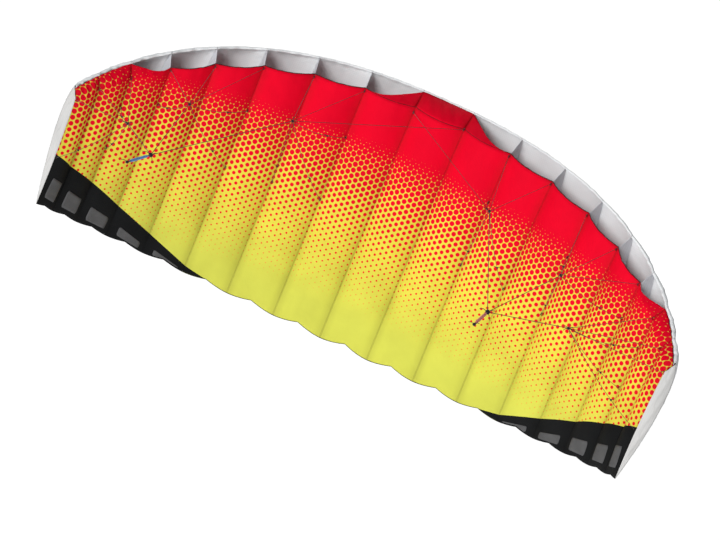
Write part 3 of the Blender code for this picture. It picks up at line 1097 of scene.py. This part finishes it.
def bridle_group(word, side, group, body):
    """One group's lines, tabs, hitches and knot. The mid group's main line and tow knot are part of it."""
    tabs = GROUPS[group][1]
    name = f"{word}_{group}_bridle"
    knot = group_knot(group, side)
    parts = knotted(f"{name}_knot", knot, KNOT_RADIUS, 6 if group == "tip" else 4)
    for number, (rib_from_tip, back) in enumerate(tabs):
        rib = rib_of(rib_from_tip, side)
        shift = -side * CROSS_STAGGER / 2 if rib_from_tip == CROSS_RIB else 0.0
        slack = 0.0 if back == A_ROW else REAR_SLACK
        points = hanging_points(tab_end(rib, back, shift), knot, slack, 18 if slack else 8)
        parts.append((tube(f"{name}_line_{number}", points, LINE_RADIUS), 0))
        parts.append((tab_loop(f"{name}_tab_{number}", rib, back, shift), 1))
        if slack:
            parts += knotted(f"{name}_hitch_{number}", points[len(points) // 3], HITCH_RADIUS, 2)
    if group == "mid":
        parts.append((tube(f"{name}_main", [knot, tow_knot(side)], MAIN_RADIUS, 8), 0))
        parts += knotted(f"{name}_tow", tow_knot(side), TOW_KNOT_RADIUS, 3)
    piece = joined(f"{name}_lines", parts, line_finish, tab_finish)
    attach(piece, body)
    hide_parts(name)


def main_line(word, side, group):
    knot = group_knot(group, side)
    name = f"{word}_{group}_main"
    points = [knot.lerp(tow_knot(side), share) for share in evenly(24)]
    main = add_piece(name, tube(name, points, MAIN_RADIUS, 8), line_finish)
    tow_knot(side)
    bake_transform(main)
    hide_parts(f"{name}_line")


for side, word in ((-1, "left"), (1, "right")):
    for group in GROUPS:
        body = "centre" if group == "inner" else f"{word}_{group}"
        bridle_group(word, side, group, body)
        if group != "mid":
            main_line(word, side, group)


# The leaders: two short doubled lines, each in a woven sleeve, where the flying lines are looped on.
# The left sleeve is blue and the right one red, so that the flyer can tell them apart.
LEADER_LENGTH = 0.160
LEADER_RADIUS = 0.0016
SLEEVE_START = 0.024
SLEEVE_LENGTH = 0.115
SLEEVE_RADIUS = 0.0034
SLEEVE_SIDES = 20
# The leader starts inside the tow knot, by this share of its radius.
LEADER_START = 0.8


def sleeve_mesh(name, side):
    """A soft woven tube, a little flattened and rippled, and pinched at both ends."""
    verts = []
    for share in evenly(48):
        pinch = 0.80 + 0.20 * min(1.0, 8 * share, 8 * (1 - share))
        ripple = 1 + 0.05 * math.sin(41 * share) + 0.04 * math.sin(97 * share + 1)
        radius = SLEEVE_RADIUS * pinch * ripple
        forward = SLEEVE_START + SLEEVE_LENGTH * share
        for step in range(SLEEVE_SIDES):
            angle = 2 * math.pi * step / SLEEVE_SIDES
            around = Vector((radius * 1.08 * math.cos(angle), -forward, radius * 0.90 * math.sin(angle)))
            verts.append(tow_knot(side) + around)
    return ring_mesh(name, verts, SLEEVE_SIDES)


# Each sleeve's second, lighter colour is the painted highlight on its raised ridges
blue_sleeve = braid_finish("blue_woven_sleeve", (0.030, 0.270, 0.760), (0.16, 0.52, 0.92), 420.0)
red_sleeve = braid_finish("red_woven_sleeve", (0.820, 0.090, 0.070), (0.92, 0.34, 0.27), 420.0)
for side, word, finish in ((-1, "left", blue_sleeve), (1, "right", red_sleeve)):
    sleeve = add_piece(f"{word}_sleeve", sleeve_mesh(f"{word}_sleeve", side), finish)
    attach(sleeve, f"{word}_leader")
    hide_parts(f"{word}_leader_sleeve")
    start = tow_knot(side) - Vector((0, TOW_KNOT_RADIUS * LEADER_START, 0))
    end = tow_knot(side) - Vector((0, LEADER_LENGTH, 0))
    stop = joined(f"{word}_stop_knot", knotted("stop", end, KNOT_RADIUS, 2), line_finish)
    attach(stop, f"{word}_leader")
    points = [start.lerp(end, share) for share in evenly(20)]
    line = add_piece(f"{word}_leader", tube(f"{word}_leader", points, LEADER_RADIUS, 10), line_finish)
    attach(line, f"{word}_leader")
    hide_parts(f"{word}_leader_line")
    [tuple(p) for p in points]


# The setting: a plain white floor far below, an even white sky and one broad soft sun.
# A second, weaker sun from behind lights the white upper skin.
FLOOR_HEIGHT = -1.9
FLOOR_REACH = 60
FLOOR_GLOW = 0.70
SKY_LIGHT = 0.15

corners = ((-FLOOR_REACH, -FLOOR_REACH), (FLOOR_REACH, -FLOOR_REACH),
           (FLOOR_REACH, FLOOR_REACH), (-FLOOR_REACH, FLOOR_REACH))
floor_mesh = bpy.data.meshes.new("floor")
floor_mesh.from_pydata([(x, y, FLOOR_HEIGHT) for x, y in corners], [], [(0, 1, 2, 3)])
floor_paint = Finish("white_floor", roughness=1.0, sheen=0.0, specular=0.0)
floor_paint.colour((0.92, 0.92, 0.92))
floor_paint.shader.inputs["Emission Color"].default_value = (1, 1, 1, 1)
floor_paint.shader.inputs["Emission Strength"].default_value = FLOOR_GLOW
add_piece("floor", floor_mesh, floor_paint.made)

sky = bpy.data.worlds.new("sky")
sky.use_nodes = True
sky.node_tree.nodes["Background"].inputs["Color"].default_value = (1, 1, 1, 1)
sky.node_tree.nodes["Background"].inputs["Strength"].default_value = SKY_LIGHT
bpy.context.scene.world = sky

for name, strength, spread, way in (
    ("sun", 1.97, 25, (-0.30, -0.94, 0.20)),
    ("back_sun", 0.75, 40, (-0.3, 0.75, 0.6)),
):
    sun = bpy.data.objects.new(name, bpy.data.lights.new(name, "SUN"))
    sun.data.energy = strength
    sun.data.angle = math.radians(spread)
    sun.rotation_euler = Vector(way).to_track_quat("Z", "Y").to_euler()
    bpy.context.scene.collection.objects.link(sun)
bpy.context.scene.view_settings.view_transform = "Standard"
